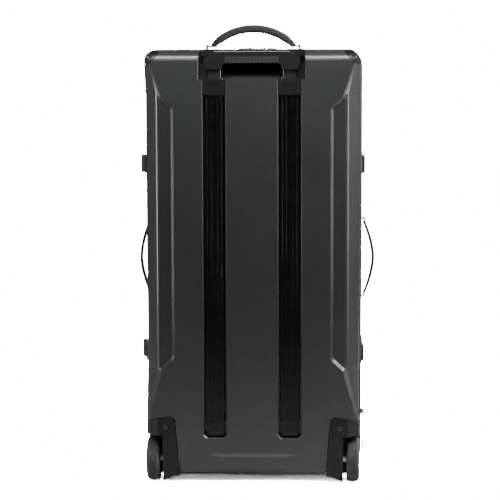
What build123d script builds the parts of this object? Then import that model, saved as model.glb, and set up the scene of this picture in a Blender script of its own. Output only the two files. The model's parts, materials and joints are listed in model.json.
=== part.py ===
from build123d import *

import os
from math import cos, pi, radians, sin, tan

# Wheeled gear case: a hard moulded back shell with a zipped fabric front. It stands upright on two
# corner wheels and two front feet. +Z is up, +X is to the right when looking at the hard back, and
# the hard back faces -Y. The origin is on the floor, in the middle of the case's footprint.
# All sizes are in millimetres.

# Driving dimensions: the hard shell
HALF = 220.0  # half the shell's width
BACK_Y = -168.0  # outer face of the hard back
RIM_Y = -62.0  # where the hard shell ends
SHELL_BOTTOM = 16.0
SHELL_TOP = 897.0
CREASE_Z = 42.0  # below this line the back turns in under the case
KICK_Z = 67.0  # top of the light bevel above that line
SHELL_WALL = 3.5
CORNER_R = 26.0
TOP_EDGE_R = 25.0
SIDE_EDGE_R = 9.0
PANEL_DEPTH = 7.0  # side panels sit this far below the back
PANEL_SLOPE = 40.0  # degrees, of the step round each side panel
PANEL_X = 160.0
BUMP_HALF = 70.0  # half the flat length of the raised pad at the foot of the back
PAD_PROUD = 2.5
SEAM = 0.7  # gap round the parts let into the shell
RIM_BEVEL = 1.8  # bevel round the grip well and the leg grooves

# Pull handle
TUBE_X = 77.0
TUBE_Y = BACK_Y + 14.0
CHANNEL_HALF = 23.0
CHANNEL_BOTTOM = 98.0
CHANNEL_DEPTH = 24.0
WELL_HALF = 108.5
WELL_BOTTOM = 836.0
WELL_DEPTH = 52.0
WELL_RAMP = 34.0  # height over which the floor of the recess slopes up
END_CAP_TOP = 131.0
COLLAR_BOTTOM = 804.0
OUTER_TUBE = (40.0, 18.0)  # width and depth of each section
MIDDLE_TUBE = (34.0, 13.0)
INNER_TUBE = (28.0, 9.0)
TUBE_WALL = 1.5
GRIP_TOP = 895.0
GRIP_LOW = 856.0
GRIP_BACK = BACK_Y + 1.0
GRIP_FRONT = GRIP_BACK + 26.0
GAP_TOP = 869.0  # top of the finger gap
BUTTON_HALF = 24.0

# Wheels
WHEEL_R = 46.0
WHEEL_X = 208.0
WHEEL_Y = BACK_Y + 42.0
WHEEL_HALF = 14.0
HUB_R = 27.0
WELL_WALL_X = 187.0
WHEEL_WELL_TOP = 101.0
AXLE_R = 4.0
BEARING_R = 11.0
BEARING_W = 7.0
RUNNING = 0.05  # radial clearance of the axle in its bearings

# Fabric body and lid
FABRIC_Y = -58.0
FABRIC_HALF = 226.0  # the padded sides stand a little wider than the shell
FABRIC_BOTTOM = 18.0
FABRIC_TOP = 899.0
FABRIC_MID = (FABRIC_BOTTOM + FABRIC_TOP) / 2
FABRIC_R = 34.0
FABRIC_WALL = 5.0
ZIP_Y = 110.0  # plane in which the lid parts from the body
ZIP_GAP = 0.3
FRONT_Y = 160.0
FRONT_EDGE_R = 22.0
POCKET_FRONT = 172.0
LID_BOTTOM = 72.0

# Handles and straps
CARRY_Y = -86.0  # it stands on the shell's top, behind the grip well
CARRY_PIVOT_Z = SHELL_TOP + 8.0
CARRY_PIN_R = 2.0
CARRY_HALF = 85.0
CARRY_RISE = 44.0
CARRY_WIDTH = 24.0
CARRY_THICK = 16.0
CARRY_NECK = 10.0  # height above the pins below which the ends are narrow
SIDE_HANDLE_Y = 60.0
SIDE_HANDLE_Z = 452.0
SIDE_HANDLE_HALF = 84.0
SIDE_HANDLE_BOW = 20.0
SIDE_HANDLE_THICK = 6.5
SIDE_PIVOT_X = FABRIC_HALF + 7
STRAP_ZS = {"upper": 658.0, "lower": 257.0}
STRAP_HALF = 19.0
STRAP_SLACK = {"left": 17.0, "right": 0.0}  # how far the webbing bows out behind its clip
TAIL_PIVOT = (FABRIC_HALF + 6, 118.0)  # X and Z of the loose tail's pin
TAIL_Y = 30.0

# Zip hardware
SLIDER_X = 15.0
SLIDER_LOW = FABRIC_TOP + 1.5
PULL_Z = SLIDER_LOW + 5.2
PULL_LENGTH = 26.0
PULL_REST = 5.0  # degrees, by which the tab hangs down from its pin
POCKET_ZIP_X = -118.0
POCKET_ZIP_Z = 660.0

# Screws, each given by X and Z on the back, or X and Y under a foot
GUARD_SCREW = (206.0, 884.0)
HOUSING_SCREW = (181.0, 119.0)
FOOT_SCREW = (151.0, 131.0)

SIDES = {"left": -1, "right": 1}


# Helpers
def face_of(*points):
    """Closed face with straight edges through the points."""
    return make_face(Polyline(*points, close=True))


def slab(outline, y_from, y_to):
    """Solid from an outline drawn in X and Z, between two depths in Y."""
    plane = Plane(origin=(0, y_to, 0), x_dir=(1, 0, 0), z_dir=(0, -1, 0))
    return extrude(plane * outline, y_to - y_from)


def column(outline, z_from, z_to):
    """Solid from an outline drawn in X and Y, between two heights."""
    return extrude(Pos(0, 0, z_from) * outline, z_to - z_from)


def beam(outline, x_from, x_to):
    """Solid from an outline drawn in Y and Z, between two places in X."""
    plane = Plane(origin=(x_from, 0, 0), x_dir=(0, 1, 0), z_dir=(1, 0, 0))
    return extrude(plane * outline, x_to - x_from)


def brick(x, y, z):
    """Box given by its lowest and highest value along each axis."""
    return Pos((x[0] + x[1]) / 2, (y[0] + y[1]) / 2, (z[0] + z[1]) / 2) * Box(
        x[1] - x[0], y[1] - y[0], z[1] - z[0]
    )


def rod_x(radius, x_from, x_to, y, z):
    """Round bar along X."""
    return Pos((x_from + x_to) / 2, y, z) * Rot(0, 90, 0) * Cylinder(radius, abs(x_to - x_from))


def rod_y(radius, y_from, y_to, x, z):
    """Round bar along Y."""
    return Pos(x, (y_from + y_to) / 2, z) * Rot(90, 0, 0) * Cylinder(radius, abs(y_to - y_from))


def rod_z(radius, z_from, z_to, x, y):
    """Round bar along Z."""
    return Pos(x, y, (z_from + z_to) / 2) * Cylinder(radius, abs(z_to - z_from))


def both_sides(make):
    """The left part and the right part in one group."""
    return Compound(children=[make(-1), make(1)])


def flip(shape, side):
    """A part drawn for the right side, put on the given side."""
    return shape if side > 0 else mirror(shape, about=Plane.YZ)


def save(shape, name):
    """Write one sub-part."""
    export_step(shape, f"parts/{name}.step")


# Hard back shell
def side_profile(back, low, high, kick, tuck):
    """Shell seen from the side: round at the top, bevelled and tucked in at the bottom."""
    profile = face_of(
        (RIM_Y, low),
        (back + tuck, low),
        (back + kick, CREASE_Z),
        (back, KICK_Z),
        (back, high),
        (RIM_Y, high),
    )
    top = profile.vertices().group_by(Axis.Y)[-1].sort_by(Axis.X)[0]
    return fillet(top, TOP_EDGE_R)


def softened_block():
    """The shell's outer block with round back edges."""
    middle = (SHELL_BOTTOM + SHELL_TOP) / 2
    front = Pos(0, middle) * RectangleRounded(2 * HALF, SHELL_TOP - SHELL_BOTTOM, CORNER_R)
    plan = Pos(0, (BACK_Y + RIM_Y) / 2) * Rectangle(2 * HALF, RIM_Y - BACK_Y)
    plan = fillet(plan.vertices().group_by(Axis.Y)[0], SIDE_EDGE_R)
    block = slab(front, BACK_Y, RIM_Y)
    block = block & beam(side_profile(BACK_Y, SHELL_BOTTOM, SHELL_TOP, 5.0, 20.0), -HALF, HALF)
    return block & column(plan, SHELL_BOTTOM, SHELL_TOP)


def corner_bevel(side, edge_x, edge_z, lean, z_range):
    """Wedge that bevels the back edge beside a corner. The bevel narrows towards the corner."""
    wedge = Plane(origin=(side * edge_x, BACK_Y, edge_z), z_dir=(side, -1, lean)) * Box(
        400, 400, 200, align=(Align.CENTER, Align.CENTER, Align.MIN)
    )
    return wedge & brick(sorted((side * 60.0, side * 300.0)), (BACK_Y - 20, RIM_Y + 20), z_range)


def outer_block():
    """Outer surface of the shell without its side panels."""
    block = softened_block()
    for side in SIDES.values():
        block = block - corner_bevel(side, 186.0, 808.0, -0.35, (790.0, 920.0))
        block = block - corner_bevel(side, 190.0, 225.0, 0.28, (5.0, 250.0))
    return block


def sunk_block(inset):
    """Bevelled inner body that shows in the side panels; inset gives the cavity behind it."""
    back = BACK_Y + PANEL_DEPTH + inset
    half = HALF - inset
    low, high = SHELL_BOTTOM + 2 + inset, SHELL_TOP - 2 - inset
    plan = face_of(
        (-half, RIM_Y),
        (-half, back + 29),
        (26 - half, back),
        (half - 26, back),
        (half, back + 29),
        (half, RIM_Y),
    )
    plan = fillet([v for v in plan.vertices() if v.Y < RIM_Y - 1], 13.0)
    front = Pos(0, (low + high) / 2) * RectangleRounded(2 * half, high - low, CORNER_R - 2)
    side = beam(side_profile(back, low, high, 4.0, 18.0), -half, half)
    return column(plan, low, high) & side & slab(front, back, RIM_Y)


def side_panel_cutter(side):
    """Region taken out of the outer block for one recessed side panel."""
    reach = HALF + 30
    outline = face_of((reach, 829), (182, 799), (PANEL_X, 779), (PANEL_X, 262), (186, 239), (reach, 226))
    outline = fillet([v for v in outline.vertices() if v.X < reach - 1], 14.0)
    plane = Plane(origin=(0, BACK_Y, 0), x_dir=(-1, 0, 0), z_dir=(0, 1, 0))
    step = extrude(plane * mirror(outline, about=Plane.YZ), PANEL_DEPTH, taper=PANEL_SLOPE)
    skin = slab(outline, BACK_Y - 5, BACK_Y)
    inner = offset(outline, -PANEL_DEPTH * tan(radians(PANEL_SLOPE)))
    deep = slab(inner, BACK_Y + PANEL_DEPTH - 0.1, BACK_Y + 72)
    return flip(step + skin + deep, side)


def channel_outline(side, grow=0.0):
    """Outline of the groove for one telescopic leg, with clipped lower corners."""
    low, half, clip = CHANNEL_BOTTOM - grow, CHANNEL_HALF + grow, 6.0
    middle, top = side * TUBE_X, WELL_BOTTOM + 6
    return face_of(
        (middle - half, top),
        (middle - half, low + clip),
        (middle - half + clip, low),
        (middle + half - clip, low),
        (middle + half, low + clip),
        (middle + half, top),
    )


def channel(side, grow=0.0):
    """Groove for one telescopic leg."""
    return slab(channel_outline(side, grow), BACK_Y - 5, BACK_Y + CHANNEL_DEPTH + grow)


def rim_bevel(outline, size):
    """Wedge that bevels the back's edge round an opening with the given outline."""
    plane = Plane(origin=(0, BACK_Y, 0), x_dir=(-1, 0, 0), z_dir=(0, 1, 0))
    wedge = extrude(plane * mirror(offset(outline, size), about=Plane.YZ), size, taper=40)
    return wedge + slab(offset(outline, size), BACK_Y - 4, BACK_Y)


def grip_well(grow=0.0):
    """Recess behind the grip, open at the back and at the top, with a sloping floor."""
    half, low = WELL_HALF + grow, WELL_BOTTOM - grow
    far = BACK_Y + WELL_DEPTH + grow
    hollow = face_of(
        (BACK_Y - 6, low),
        (BACK_Y + 27 + grow, low),
        (far, low + WELL_RAMP),
        (far, SHELL_TOP + 30),
        (BACK_Y - 6, SHELL_TOP + 30),
    )
    return beam(hollow, -half, half)


def housing_outline(grow=0.0):
    """Outline of the right wheel housing seen from behind."""
    outline = face_of((HALF + 10, -5), (HALF + 10, 132), (171, 141), (162, 136), (150.0, -5))
    outline = fillet([v for v in outline.vertices() if v.Y > 100 and v.X < HALF], 4.0)
    return offset(outline, grow) if grow else outline


def back_shell():
    """Hard moulded tray with side panels, leg grooves, grip recess and wheel corners."""
    shell = outer_block()
    for side in SIDES.values():
        shell = shell - side_panel_cutter(side)
    shell = shell + sunk_block(0.0)
    proud = BACK_Y - PAD_PROUD
    plan = [(BUMP_HALF, proud), (BUMP_HALF + 24, BACK_Y + 1), (BUMP_HALF + 24, BACK_Y + 12)]
    plan = face_of(*plan, *[(-x, y) for x, y in reversed(plan)])
    pad = [(BACK_Y + 12, CREASE_Z), (proud + 2, CREASE_Z), (proud, KICK_Z - 8), (BACK_Y + 12, KICK_Z + 20)]
    pad = face_of(*pad)
    shell = shell + (column(plan, CREASE_Z, KICK_Z + 20) & beam(pad, -HALF, HALF))

    cavity = sunk_block(SHELL_WALL)
    cavity = cavity + brick(
        (5 - PANEL_X, PANEL_X - 5), (BACK_Y + SHELL_WALL, RIM_Y), (KICK_Z + 8, SHELL_TOP - TOP_EDGE_R)
    )
    cavity = cavity - brick((-100, 100), (BACK_Y, BACK_Y + 14), (SHELL_BOTTOM, KICK_Z + 6))
    for side in SIDES.values():
        cavity = cavity - channel(side, SHELL_WALL)
    cavity = cavity - grip_well(SHELL_WALL)
    shell = shell - cavity
    well = face_of((-WELL_HALF, WELL_BOTTOM), (WELL_HALF, WELL_BOTTOM), (WELL_HALF, 930), (-WELL_HALF, 930))
    shell = shell - rim_bevel(well, RIM_BEVEL)
    for side in SIDES.values():
        shell = shell - channel(side) - rim_bevel(channel_outline(side), RIM_BEVEL)
        corner = slab(housing_outline(SEAM), BACK_Y - 20, RIM_Y + 5)
        shell = shell - flip(corner + rim_bevel(housing_outline(SEAM), 1.0), side)
        shell = shell - flip(guard_blank(SEAM), side)
    return max((shell - grip_well()).solids(), key=lambda solid: solid.volume)


# Corner pieces
def guard_blank(grow):
    """Outline of a corner guard, as a block through the shell's back corner."""
    outline = face_of((240, 868), (240, 930), (190, 930), (190, 888), (210, 868))
    outline = fillet([v for v in outline.vertices() if v.X < 215 and v.Y < 900], 6.0)
    outline = offset(outline, grow) if grow else outline
    return slab(outline, BACK_Y - 10, BACK_Y + 44 + grow)


def corner_guard(side):
    """Hard cap let into a top corner, with a countersunk screw hole."""
    guard = flip(guard_blank(0.0), side) & outer_block()
    guard = guard - rod_y(2.6, BACK_Y - 10, RIM_Y, side * GUARD_SCREW[0], GUARD_SCREW[1])
    return guard - rod_y(4.2, BACK_Y - 10, BACK_Y + 7, side * GUARD_SCREW[0], GUARD_SCREW[1])


def corner_guard_screw(side):
    """Dome-headed screw of a corner guard, sunk in the bevelled face."""
    x, z = side * GUARD_SCREW[0], GUARD_SCREW[1]
    shank = rod_y(2.5, BACK_Y + 6, BACK_Y + 44, x, z)
    return shank + rod_y(4.0, BACK_Y + 3.5, BACK_Y + 7, x, z) - rod_y(1.5, BACK_Y, BACK_Y + 5, x, z)


def wheel_housing(side):
    """Moulded corner round a wheel, with grip ridges above the wheel opening."""
    outline = housing_outline()
    skirt = face_of((140, 16), (160, 15.5), (174, 9), (190, 3), (240, 3), (240, 200), (140, 200))
    skirt = fillet([v for v in skirt.vertices() if 150 < v.X < 200], 12.0)
    block = slab(outline, BACK_Y - 10, RIM_Y) & slab(skirt, BACK_Y - 10, RIM_Y)
    far = HALF + 2
    plan = face_of((140, RIM_Y), (140, BACK_Y - 1), (196, BACK_Y - 1), (far, BACK_Y + 24), (far, RIM_Y))
    plan = fillet([v for v in plan.vertices() if v.X > 150 and v.Y < RIM_Y - 1], 8.0)
    block = block & column(plan, 0, 200)
    leg = face_of((BACK_Y - 1, 200), (BACK_Y - 1, 60), (BACK_Y + 12, 3), (RIM_Y, 3), (RIM_Y, 200))
    block = block & beam(leg, 100, 300)
    block = block - brick((WELL_WALL_X, 300), (BACK_Y - 20, WHEEL_Y + 53), (-5, WHEEL_WELL_TOP))
    block = block - brick((166, 183), (BACK_Y + 10, RIM_Y + 1), (22, 108))
    for ridge in range(4):
        z = 108.0 + 6 * ridge
        groove = column(offset(plan, 1.0) - offset(plan, -1.2), z, z + 2)
        block = block - (groove & brick((194, 240), (BACK_Y - 20, RIM_Y - 5), (z, z + 2)))
    block = block - rod_x(AXLE_R + 1, 180, 200, WHEEL_Y, WHEEL_R)
    block = block - rod_y(2.6, BACK_Y - 10, BACK_Y + 60, *HOUSING_SCREW)
    block = block - rod_y(5.5, BACK_Y - 10, BACK_Y + 2.5, *HOUSING_SCREW)
    return flip(block, side)


def housing_screw(side):
    """Countersunk machine screw through the wheel housing."""
    x, z = side * HOUSING_SCREW[0], HOUSING_SCREW[1]
    head = rod_y(5.2, BACK_Y - 0.5, BACK_Y + 2.5, x, z)
    shank = rod_y(2.5, BACK_Y + 2.5, BACK_Y + 50, x, z)
    slot = brick((x - 0.7, x + 0.7), (BACK_Y - 1, BACK_Y + 0.8), (z - 3, z + 3))
    cross = brick((x - 3, x + 3), (BACK_Y - 1, BACK_Y + 0.8), (z - 0.7, z + 0.7))
    return head + shank - slot - cross


# Pull handle
def tube(side, size, z_from, z_to):
    """Rectangular tube of one telescopic leg."""
    middle = Pos(side * TUBE_X, TUBE_Y)
    section = middle * RectangleRounded(*size, 2.5)
    bore = middle * RectangleRounded(size[0] - 2 * TUBE_WALL, size[1] - 2 * TUBE_WALL, 1.5)
    return column(section - bore, z_from, z_to)


def outer_tube(side):
    """Fixed outer tube with long ribs on its back face."""
    body = tube(side, OUTER_TUBE, END_CAP_TOP, COLLAR_BOTTOM)
    back = TUBE_Y - OUTER_TUBE[1] / 2
    for groove in (-13, -5, 5, 13):
        middle = side * TUBE_X + groove
        z_range = (END_CAP_TOP - 1, COLLAR_BOTTOM + 1)
        cut = brick((middle - 1.6, middle + 1.6), (back - 1, back + 0.7), z_range)
        body = body - cut
    return body


def tube_collar(side):
    """Collar at the mouth of an outer tube, with a framed window round the latch."""
    middle = side * TUBE_X
    half = CHANNEL_HALF - 0.5
    body = brick((middle - half, middle + half), (BACK_Y + 1, BACK_Y + 22.5), (COLLAR_BOTTOM, WELL_BOTTOM))
    bore = Pos(middle, TUBE_Y) * RectangleRounded(MIDDLE_TUBE[0] + 0.7, MIDDLE_TUBE[1] + 0.7, 2.8)
    body = body - column(bore, COLLAR_BOTTOM - 1, WELL_BOTTOM + 1)
    window = brick((middle - 14, middle + 14), (BACK_Y, BACK_Y + 2.2), (COLLAR_BOTTOM - 1, WELL_BOTTOM - 9))
    latch = rod_y(1.8, BACK_Y + 1.2, BACK_Y + 3, middle - 5, COLLAR_BOTTOM + 14)
    return body - window + latch


def tube_end_cap(side):
    """Block that closes the foot of an outer tube."""
    middle = side * TUBE_X
    block = brick((middle - 18, middle + 18), (BACK_Y + 4, BACK_Y + 23), (CHANNEL_BOTTOM + 4, END_CAP_TOP))
    z_range = (CHANNEL_BOTTOM + 10, END_CAP_TOP - 7)
    block = block - brick((middle - 12, middle + 12), (BACK_Y, BACK_Y + 5.5), z_range)
    return chamfer(block.edges().filter_by(Axis.Y).group_by(Axis.Z)[0], 3.0)


def grip_outline():
    """Grip with its two legs, seen from behind."""
    corners = [(72, GRIP_TOP), (98, GRIP_TOP - 15), (98, GRIP_TOP - 26), (94, GRIP_LOW + 3), (94, GRIP_LOW)]
    corners += [(60, GRIP_LOW), (60, GAP_TOP - 5), (55, GAP_TOP)]
    return face_of(*corners, *[(-x, z) for x, z in reversed(corners)])


def pad_channel(grow=0.0):
    """Soft underside of the grip bar: a channel that wraps its lower half."""
    z_range = (GAP_TOP - grow, GRIP_TOP - 13 + grow)
    outer = brick((-54 - grow, 54 + grow), (GRIP_BACK - grow, GRIP_FRONT + grow), z_range)
    core = brick((-60, 60), (GRIP_BACK + 3.5, GRIP_FRONT - 3.5), (GAP_TOP + 3.5, GRIP_TOP))
    return outer - core


def grip():
    """Hard grip that joins the two inner tubes."""
    body = slab(grip_outline(), GRIP_BACK, GRIP_FRONT)
    body = fillet(body.edges().filter_by(Axis.X).group_by(Axis.Z)[-1], 4.0)
    body = body - pad_channel()
    reach = BUTTON_HALF + 0.4
    body = body - brick((-reach, reach), (TUBE_Y - 8.4, TUBE_Y + 8.4), (GRIP_TOP - 10.5, GRIP_TOP + 1))
    for side in SIDES.values():
        socket = Pos(side * TUBE_X, TUBE_Y) * RectangleRounded(INNER_TUBE[0] + 0.1, INNER_TUBE[1] + 0.1, 2.5)
        body = body - column(socket, GRIP_LOW - 1, GRIP_LOW + 20)
    return body


def grip_pad():
    """Ribbed soft pad under the fingers."""
    pad = pad_channel()
    for rib in range(-7, 8):
        for y_range in ((GRIP_BACK - 1, GRIP_BACK + 1.2), (GRIP_FRONT - 1.2, GRIP_FRONT + 1)):
            pad = pad - brick((7 * rib - 1.2, 7 * rib + 1.2), y_range, (GAP_TOP - 1, GRIP_TOP - 16))
    return pad


def grip_button():
    """Release button in the top of the grip."""
    block = brick((-BUTTON_HALF, BUTTON_HALF), (TUBE_Y - 8, TUBE_Y + 8), (GRIP_TOP - 5.5, GRIP_TOP + 3))
    return fillet(block.edges().group_by(Axis.Z)[-1], 2.0)


def button_spring():
    """Return spring under the button, as a plain sleeve."""
    sleeve = rod_z(4.0, GRIP_TOP - 10.4, GRIP_TOP - 5.5, 0, TUBE_Y)
    return sleeve - rod_z(2.5, GRIP_TOP - 12, GRIP_TOP - 5, 0, TUBE_Y)


def lock_rod(side):
    """Rod inside an inner tube that the button pushes down."""
    return rod_z(2.0, 165, GRIP_LOW + 12, side * TUBE_X, TUBE_Y)


def well_cap():
    """Cap across the top of the grip well, in front of the fabric."""
    cap = brick((-104, 104), (GRIP_FRONT + 2, BACK_Y + WELL_DEPTH), (SHELL_TOP - 13, SHELL_TOP - 1))
    cap = chamfer(cap.edges().filter_by(Axis.X).group_by(Axis.Z)[-1].sort_by(Axis.Y)[0], 4.0)
    return cap - rod_y(3.0, GRIP_FRONT, GRIP_FRONT + 3.5, -32, SHELL_TOP - 8)


# Wheels
def wheel_tyre(side):
    """Soft tyre with two tread grooves."""
    low, high = WHEEL_X - WHEEL_HALF, WHEEL_X + WHEEL_HALF
    tyre = rod_x(WHEEL_R, low, high, WHEEL_Y, WHEEL_R)
    tyre = fillet(tyre.edges(), 8.0) - rod_x(HUB_R, low - 1, high + 1, WHEEL_Y, WHEEL_R)
    for shift in (-3.5, 3.5):
        middle = WHEEL_X + shift
        groove = rod_x(WHEEL_R + 1, middle - 0.7, middle + 0.7, WHEEL_Y, WHEEL_R)
        tyre = tyre - (groove - rod_x(WHEEL_R - 1.2, middle - 2, middle + 2, WHEEL_Y, WHEEL_R))
    return flip(tyre, side)


def wheel_hub(side):
    """Hub with six holes and a bore for the bearings."""
    low, high = WHEEL_X - WHEEL_HALF + 2, WHEEL_X + WHEEL_HALF - 2
    hub = rod_x(HUB_R, low, high, WHEEL_Y, WHEEL_R) - rod_x(BEARING_R, low - 1, high + 1, WHEEL_Y, WHEEL_R)
    for turn in range(6):
        angle = radians(60 * turn)
        hub = hub - rod_x(4.5, low - 1, high + 1, WHEEL_Y + 19 * cos(angle), WHEEL_R + 19 * sin(angle))
    return flip(hub, side)


def wheel_bearings(side):
    """Two bearings pressed into a hub."""
    rings = []
    for outward in (-1, 1):
        edge = WHEEL_X + outward * (WHEEL_HALF - 2)
        low, high = sorted((edge, edge - outward * BEARING_W))
        ring = rod_x(BEARING_R, low, high, WHEEL_Y, WHEEL_R)
        ring = ring - rod_x(AXLE_R + RUNNING, low - 1, high + 1, WHEEL_Y, WHEEL_R)
        rings.append(flip(ring, side))
    return Compound(children=rings)


def axle(side):
    """Stub axle with a shoulder and a retaining head."""
    inner, outer = WHEEL_X - WHEEL_HALF + 2, WHEEL_X + WHEEL_HALF - 2
    pin = rod_x(AXLE_R, 179, outer + 2, WHEEL_Y, WHEEL_R)
    pin = pin + rod_x(7.0, 179, 183, WHEEL_Y, WHEEL_R)
    pin = pin + rod_x(7.0, WELL_WALL_X, inner - 0.3, WHEEL_Y, WHEEL_R)
    pin = pin + rod_x(7.0, outer + 0.3, outer + 2, WHEEL_Y, WHEEL_R)
    return flip(pin, side)


# Fabric body
def fabric_outline(grow=0.0):
    """Outline of the fabric body seen from behind."""
    return Pos(0, FABRIC_MID) * RectangleRounded(
        2 * (FABRIC_HALF + grow), FABRIC_TOP - FABRIC_BOTTOM + 2 * grow, FABRIC_R + grow
    )


def front_form(inset):
    """Rounded front of the case, from the zip plane forwards."""
    low, high, half = FABRIC_BOTTOM + inset, FABRIC_TOP - inset, FABRIC_HALF - inset
    start, end = ZIP_Y - 10, FRONT_Y - inset
    side = Pos((start + end) / 2, FABRIC_MID) * Rectangle(end - start, high - low)
    side = fillet(side.vertices().group_by(Axis.X)[-1], FRONT_EDGE_R - inset)
    plan = Pos(0, (start + end) / 2) * Rectangle(2 * half, end - start)
    plan = fillet(plan.vertices().group_by(Axis.Y)[-1], FRONT_EDGE_R - inset)
    form = slab(fabric_outline(-inset), start, end)
    return form & beam(side, -half, half) & column(plan, low, high)


def fabric_body():
    """Walls of the main compartment and the low sill in front of them."""
    ring = slab(fabric_outline(), FABRIC_Y, ZIP_Y - ZIP_GAP / 2)
    ring = ring - slab(fabric_outline(-FABRIC_WALL), FABRIC_Y - 1, ZIP_Y + 1)
    sill = front_form(0.0) & brick((-300, 300), (ZIP_Y - 5, 300), (0, LID_BOTTOM - ZIP_GAP))
    return ring + sill


def front_lid():
    """Zipped lid: a soft tray that hangs on the sill along its lower edge."""
    tray = front_form(0.0) & brick((-300, 300), (ZIP_Y + ZIP_GAP / 2, 300), (LID_BOTTOM + ZIP_GAP, 1000))
    hollow = front_form(FABRIC_WALL) & brick((-300, 300), (ZIP_Y - 20, 300), (LID_BOTTOM + FABRIC_WALL, 1000))
    return tray - hollow


def zip_tape(y_from, y_to):
    """Thin band of zip round the sides and the top."""
    band = slab(fabric_outline(0.5), y_from, y_to) - slab(fabric_outline(), y_from - 1, y_to + 1)
    return band & brick((-300, 300), (y_from, y_to), (LID_BOTTOM + 2, 1000))


def rim_binding():
    """Binding sewn between the shell's rim and the fabric."""
    middle = (SHELL_BOTTOM + SHELL_TOP) / 2
    height = SHELL_TOP - SHELL_BOTTOM
    outer = Pos(0, middle) * RectangleRounded(2 * HALF + 1, height + 1, CORNER_R)
    inner = Pos(0, middle) * RectangleRounded(2 * HALF - 18, height - 18, CORNER_R - 8)
    return slab(outer, RIM_Y, FABRIC_Y) - slab(inner, RIM_Y - 1, FABRIC_Y + 1)


def tube_liner():
    """Inner panel that covers the tubes, fixed to the back of the grip well."""
    right = [(146, 80), (146, 150), (200, 150), (200, 872)]
    outline = face_of(*right, *[(-x, z) for x, z in reversed(right)])
    front = BACK_Y + WELL_DEPTH + SHELL_WALL
    return slab(outline, front, front + 2.5)


def base_stiffener():
    """Board in the floor of the fabric body."""
    floor = FABRIC_BOTTOM + FABRIC_WALL
    return brick((-183, 183), (-52, 100), (floor, floor + 3))


def pocket(z_from, z_to, half, depth):
    """Flat pocket sewn to the lid."""
    outline = Pos(0, (z_from + z_to) / 2) * RectangleRounded(2 * half, z_to - z_from, 22)
    patch = slab(outline, FRONT_Y, FRONT_Y + depth)
    return fillet(patch.edges().group_by(Axis.Y)[-1], depth * 0.6)


def front_foot(side):
    """Front foot, with a recess for its screw."""
    block = brick((118, 184), (112, 150), (0, FABRIC_BOTTOM))
    block = fillet(block.edges().filter_by(Axis.Z), 8.0)
    block = chamfer(block.edges().group_by(Axis.Z)[0], 3.0)
    block = block - rod_z(3.1, -1, FABRIC_BOTTOM + 1, *FOOT_SCREW) - rod_z(6.0, -1, 6, *FOOT_SCREW)
    return flip(block, side)


def foot_screw(side):
    """Countersunk screw of a front foot."""
    x, y = side * FOOT_SCREW[0], FOOT_SCREW[1]
    return rod_z(3.0, 3, FABRIC_BOTTOM, x, y) + rod_z(5.8, 3, 6, x, y)


# Handles
def carry_handle():
    """Padded handle on the top, narrower at its ends, each with a sleeve for its pin."""
    ends, pivot = CARRY_HALF, CARRY_PIVOT_Z
    apex = pivot + CARRY_RISE - CARRY_THICK / 2
    path = ThreePointArc((-ends, CARRY_Y, pivot), (0, CARRY_Y, apex), (ends, CARRY_Y, pivot))
    plane = Plane(origin=path @ 0, z_dir=path % 0, x_dir=(0, 1, 0))
    handle = sweep(plane * RectangleRounded(CARRY_WIDTH, CARRY_THICK, 6), path)
    wide = brick((-300, 300), (CARRY_Y - 50, CARRY_Y + 50), (pivot + CARRY_NECK, 1000))
    narrow = brick((-300, 300), (CARRY_Y - 6, CARRY_Y + 6), (pivot - 1, pivot + CARRY_NECK + 1))
    handle = handle & (wide + narrow)
    for side in SIDES.values():
        inner, outer = sorted((side * (ends - 7), side * (ends + 8)))
        handle = handle + rod_x(5.0, inner, outer, CARRY_Y, pivot)
        clear = brick(sorted((side * (ends + 8), side * 140)), (CARRY_Y - 50, CARRY_Y + 50), (880, 930))
        bore = rod_x(CARRY_PIN_R + 0.05, *sorted((side * (ends - 14), side * 140)), CARRY_Y, pivot)
        handle = handle - clear - bore
    return handle


def top_handle_anchor(side):
    """Plate with a cheek and a pin for one end of the carry handle."""
    low, high = CARRY_HALF - 16, CARRY_HALF + 20
    plate = brick((low, high), (CARRY_Y - 14, CARRY_Y + 14), (SHELL_TOP, SHELL_TOP + 2))
    plate = fillet(plate.edges().filter_by(Axis.Z), 5.0)
    y_range, z_range = (CARRY_Y - 6, CARRY_Y + 6), (SHELL_TOP + 1, CARRY_PIVOT_Z + 3.2)
    cheek = brick((CARRY_HALF + 9, CARRY_HALF + 13), y_range, z_range)
    pin = rod_x(CARRY_PIN_R, CARRY_HALF - 10, CARRY_HALF + 11, CARRY_Y, CARRY_PIVOT_Z)
    return flip(plate + cheek + pin, side)


def side_handle(side):
    """Webbing handle on one side, with a sleeve at each end for its pin."""
    x, y = SIDE_PIVOT_X, SIDE_HANDLE_Y
    ends = [SIDE_HANDLE_Z - SIDE_HANDLE_HALF + 6, SIDE_HANDLE_Z + SIDE_HANDLE_HALF - 6]
    path = ThreePointArc((x, y, ends[0]), (x + SIDE_HANDLE_BOW, y, SIDE_HANDLE_Z), (x, y, ends[1]))
    plane = Plane(origin=path @ 0, z_dir=path % 0, x_dir=(0, 1, 0))
    strap = sweep(plane * Rectangle(20, SIDE_HANDLE_THICK), path)
    strap = strap & brick((x - 1, 300), (y - 20, y + 20), (ends[0] - 5, ends[1] + 5))
    for end in ends:
        strap = strap + rod_z(4.5, end - 5, end + 5, x, y)
        strap = strap - rod_z(2.05, end - 12, end + 12, x, y)
    return flip(strap, side)


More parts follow.
